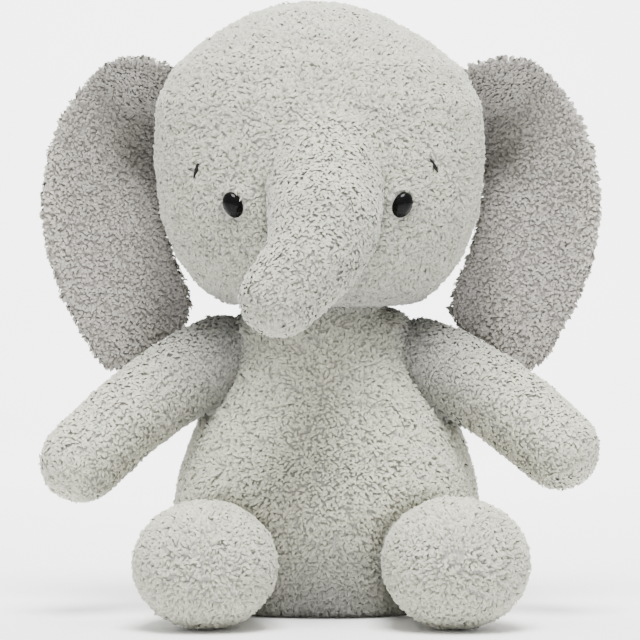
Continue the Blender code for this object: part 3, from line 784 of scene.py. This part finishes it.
def build_ear(word, side):
    """Two panels turned right side out: a thick rolled edge round a cupped middle."""
    loop = smooth_loop(EAR_OUTLINE, 4)
    bm = bmesh.new()
    sheets = []
    for thick in (-1.0, 1.0):
        rings = []
        for share in EAR_RINGS:
            ring = []
            for p in loop:
                x, z = EAR_MIDDLE + (p - EAR_MIDDLE) * share
                edge = math.sqrt(max(0.0, 1.0 - share**6))
                y = ear_depth(x, z, share) + thick * EAR_THICKNESS * edge
                ring.append(bm.verts.new((x * side, y + SHIFT, z)))
            rings.append(ring)
        sheets.append(rings)
        hub_y = ear_depth(*EAR_MIDDLE, 0.0) + thick * EAR_THICKNESS + SHIFT
        hub = bm.verts.new((EAR_MIDDLE[0] * side, hub_y, EAR_MIDDLE[1]))
        for outer, inner in zip(rings, rings[1:]):
            join_rings(bm, outer, inner)
        for i in range(len(loop)):
            bm.faces.new((rings[-1][i], rings[-1][(i + 1) % len(loop)], hub))
    bmesh.ops.remove_doubles(bm, verts=bm.verts, dist=0.00005)
    bmesh.ops.recalc_face_normals(bm, faces=bm.faces)
    skin = rounded(new_object(f"ear_{word}_skin", bm), 0.0013, 4)
    skin.data.materials.append(EAR_BACKING)
    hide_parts(f"ear_{word}_front_panel", f"ear_{word}_back_panel")
    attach(skin, f"ear_{word}")
    nap = radial_nap(0.086 * side, 0.02, 0.19)

    # Painted shade in the hollow under the lobe and along the seam behind the cheek, painted light on the
    # outer rim.
    def tone(p):
        across, height = p[:, 0] * side, p[:, 2]
        hollow = near(np.abs(across - 0.0610), 0.0150) * near(np.abs(height - 0.1860), 0.0240)
        seam = near(across - 0.0590, 0.0080) * np.clip((0.200 - height) / 0.01, 0, 1)
        rim = np.clip((across - 0.100) / 0.01, 0, 1)
        return 0.97 - 0.42 * hollow - 0.30 * seam + 0.36 * rim

    def on_front(place, up):
        return up[:, 1] < EAR_TURN

    def on_back(place, up):
        return up[:, 1] >= EAR_TURN

    front = pile_on(f"ear_{word}_front_pile", skin, nap, EAR_PILE, EAR_PILE_SIZE, EAR_LEAN, tone, on_front)
    back = pile_on(f"ear_{word}_back_pile", skin, nap, keep=on_back)
    for pile, name in ((front, "ear_lining"), (back, "plush")):
        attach(pile, f"ear_{word}")


# ---------------------------------------------------------------- arms, legs, tail


def limb(stem, nodes, body, nap, path, shape=None, lean=LOCK_LEAN, tone=None):
    """Cover and pile of a stuffed limb, from a chain of balls."""
    bm = bmesh.new()
    add_tube(bm, path)
    skin = rounded(new_object(f"{stem}_skin", bm), 0.0016, 5, shape)
    skin.data.materials.append(BACKING)
    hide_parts(*nodes)
    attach(skin, body)
    pile = pile_on(f"{stem}_pile", skin, nap, lean=lean, tone=tone, keep=off_floor)
    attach(pile, body)


RING_STEPS = 72
RING_WAVES = 18  # stitches round the ring
RING_INSET = 0.0060  # how far along the limb the ring sits
THREAD_SIDES = 6
THREAD_RADIUS = 0.00035
FILL_CLEAR = 0.0034  # between the fibre and the outside of the cover


def stitch_ring(name, node, body, centre, axis, radius):
    """Sewing thread buried in the crease where a leg meets the torso."""
    axis = Vector(axis).normalized()
    first = axis.cross(Vector((0, 0, 1))).normalized()
    second = axis.cross(first)
    bm = bmesh.new()
    rings = []
    for k in range(RING_STEPS):
        a = math.tau * k / RING_STEPS
        out = first * math.cos(a) + second * math.sin(a)
        middle = Vector(centre) + axis * RING_INSET + out * radius
        middle += axis * math.sin(a * RING_WAVES) * 0.0004
        ring = []
        for j in range(THREAD_SIDES):
            b = math.tau * j / THREAD_SIDES
            ring.append(bm.verts.new(middle + (out * math.cos(b) + axis * math.sin(b)) * THREAD_RADIUS))
        rings.append(ring)
    for low, high in zip(rings, rings[1:] + rings[:1]):
        join_rings(bm, low, high)
    bmesh.ops.recalc_face_normals(bm, faces=bm.faces)
    obj = new_object(name, bm)
    obj.data.shade_smooth()
    obj.data.materials.append(GREY_THREAD)
    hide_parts(node)
    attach(obj, body)


def fibre_fill(name, node, body, path):
    """Stuffing packed inside a cover, a little smaller all round."""
    bm = bmesh.new()
    add_tube(bm, [(x, y, z, radius - FILL_CLEAR) for x, y, z, radius in path])
    obj = rounded(new_object(name, bm), 0.0022, 4)
    obj.data.materials.append(FIBRE)
    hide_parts(node)
    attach(obj, body)


HANDS = {"left": (0.0925, -0.0350, 0.0655), "right": (-0.0935, -0.0350, 0.0605)}
ARM_STATIONS = ((-0.24, 0.0155), (0.0, 0.0156), (0.33, 0.0153), (0.67, 0.0152), (1.0, 0.0148))
ARM_BOW = 0.0112
FEET = {"left": (0.0505, -0.0830, 0.0250), "right": (-0.0435, -0.0830, 0.0244)}
FOOT_RADIUS = {"left": 0.0236, "right": 0.0230}
THIGH_STATIONS = ((0.0, 0.0176), (0.35, 0.0186), (0.7, 0.0212))
THIGH_OUTSET = 0.0050
FOOT_SPREAD = 0.14  # how much wider than tall the foot is
FOOT_FLOOR = 0.0012


def arm_path(word, side):
    """Chain of balls from inside the shoulder to the hand, bowed upwards."""
    hand = np.array(HANDS[word]) + (0, SHIFT, 0)
    start = SHOULDER * (side, 1, 1)
    path = []
    for share, radius in ARM_STATIONS:
        p = start + (hand - start) * share
        path.append((p[0], p[1], p[2] + ARM_BOW * share * (1 - share), radius))
    return path


def build_arm(word, side):
    path = arm_path(word, side)
    body = f"arm_{word}"
    nodes = [f"{body}_upper_panel", f"{body}_under_panel"]
    root, hand = (np.array(path[k][:3]) for k in (0, -1))

    # Painted shade near the shoulder, with slight painted light further down the arm.
    def tone(p):
        return 1.05 - 0.54 * near(np.linalg.norm(p - root, axis=1) - 0.014, 0.026)

    limb(body, nodes, body, fixed_nap(*(hand - root)), path, tone=tone)


def leg_path(word, side):
    """Chain of balls from the hip to the foot."""
    foot = np.array(FEET[word]) + (0, SHIFT, 0)
    start = HIP * (side, 1, 1)
    path = []
    for share, radius in (*THIGH_STATIONS, (1.0, FOOT_RADIUS[word])):
        p = start + (foot - start) * share
        path.append((p[0] + THIGH_OUTSET * side * (1 - share), p[1], p[2], radius))
    return path


def build_leg(word, side):
    path = leg_path(word, side)
    start, foot = (np.array(path[k][:3]) for k in (0, -1))

    def shape(co, normal):
        line = foot - start
        share = np.clip(((co - start) @ line) / (line @ line), 0, 1)
        centre = start[0] + line[0] * share
        co = co.copy()
        co[:, 0] = centre + (co[:, 0] - centre) * (1.0 + FOOT_SPREAD * share)
        co[:, 2] = np.maximum(co[:, 2], FOOT_FLOOR)
        return co

    body = f"leg_{word}"
    nodes = [f"{body}_outer_panel", f"{body}_inner_panel"]
    stitch_ring(f"{body}_stitches", f"{body}_seam_thread", body, start, foot - start, path[0][3])
    fibre_fill(f"{body}_fill", f"{body}_stuffing", body, path)
    sole = (foot[0], foot[1] - 0.02, foot[2] + 0.004)
    limb(body, nodes, body, radial_nap(*sole), path, shape, whorl_lean(*sole, 0.020))


TAIL_PATH = (
    (0.0020, 0.0550 + SHIFT, 0.0340, 0.0048),
    (0.0020, 0.0610 + SHIFT, 0.0240, 0.0046),
    (0.0020, 0.0645 + SHIFT, 0.0150, 0.0044),
    (0.0020, 0.0660 + SHIFT, 0.0085, 0.0050),
)


def build_tail():
    limb("tail", ["tail"], "tail", fixed_nap(0, 0.2, -1), TAIL_PATH)


# ---------------------------------------------------------------- studio


def look_at(obj, target):
    obj.rotation_euler = (Vector(target) - obj.location).to_track_quat("-Z", "Y").to_euler()


def area_light(name, location, target, size, power):
    data = bpy.data.lights.new(name, "AREA")
    data.shape = "SQUARE"
    data.size = size
    data.energy = power
    obj = bpy.data.objects.new(name, data)
    bpy.context.scene.collection.objects.link(obj)
    obj.location = location
    look_at(obj, target)


SWEEP_REACH = 3.0
SWEEP_START = 1.4  # the floor begins to curve up here
SWEEP_RADIUS = 0.9
CAMERA_AWAY = 1.3
CAMERA_HEIGHT = 0.130
CAMERA_X = -0.0004
AIM_HEIGHT = 0.1152
LENS = 182.8


def build_studio():
    """A pale sweep: a flat floor that curves up into the backdrop."""
    bm = bmesh.new()
    profile = [(-SWEEP_REACH, 0.0), (SWEEP_START, 0.0)]
    for a in np.linspace(0.05, math.pi / 2, 24):
        across, up = math.sin(a) * SWEEP_RADIUS, (1.0 - math.cos(a)) * SWEEP_RADIUS
        profile.append((SWEEP_START + across, up))
    profile.append((SWEEP_START + SWEEP_RADIUS, SWEEP_REACH))
    rows = [[bm.verts.new((x, y, z)) for x in (-SWEEP_REACH, SWEEP_REACH)] for y, z in profile]
    for low, high in zip(rows, rows[1:]):
        bm.faces.new((low[0], low[1], high[1], high[0]))
    floor = new_object("floor", bm)
    floor.data.shade_smooth()
    pale = cloth("pale_floor", (0.90, 0.90, 0.90, 1), (0.93, 0.93, 0.93, 1), 3.0, bump=0.0)
    floor.data.materials.append(pale)
    world = bpy.data.worlds.new("studio")
    world.use_nodes = True
    world.node_tree.nodes["Background"].inputs["Color"].default_value = (1.0, 1.0, 1.0, 1)
    world.node_tree.nodes["Background"].inputs["Strength"].default_value = 0.80
    bpy.context.scene.world = world
    area_light("key", (0.05, -0.55, 1.42), (0, 0, 0.12), 0.7, 68.0)
    area_light("top", (0.10, 0.05, 1.4), (0, 0, 0.12), 0.8, 10.0)
    area_light("back", (0.0, 0.9, 1.6), (0, 2.3, 0.35), 1.2, 130.0)
    data = bpy.data.cameras.new("camera")
    data.lens = LENS
    data.sensor_width = 36.0
    camera = bpy.data.objects.new("camera", data)
    bpy.context.scene.collection.objects.link(camera)
    camera.location = (CAMERA_X, SHIFT - CAMERA_AWAY, CAMERA_HEIGHT)
    look_at(camera, (CAMERA_X, SHIFT, AIM_HEIGHT))
    bpy.context.scene.camera = camera


def main():
    build_studio()
    build_torso()
    build_head()
    for word, side in SIDES.items():
        build_ear(word, side)
        build_arm(word, side)
        build_leg(word, side)
    build_tail()
    dress([o.name for o in bpy.data.objects if o.name.endswith("_stuffing")], FIBRE)
    dress(["bean_bag"], BEAN_CLOTH)
    dress(["seat_panel"], SEAT_CLOTH)
    dress(["eye_washer_left", "eye_washer_right"], NYLON)
    dress([o.name for o in bpy.data.objects if o.name.endswith("_seam_thread")], GREY_THREAD)


main()
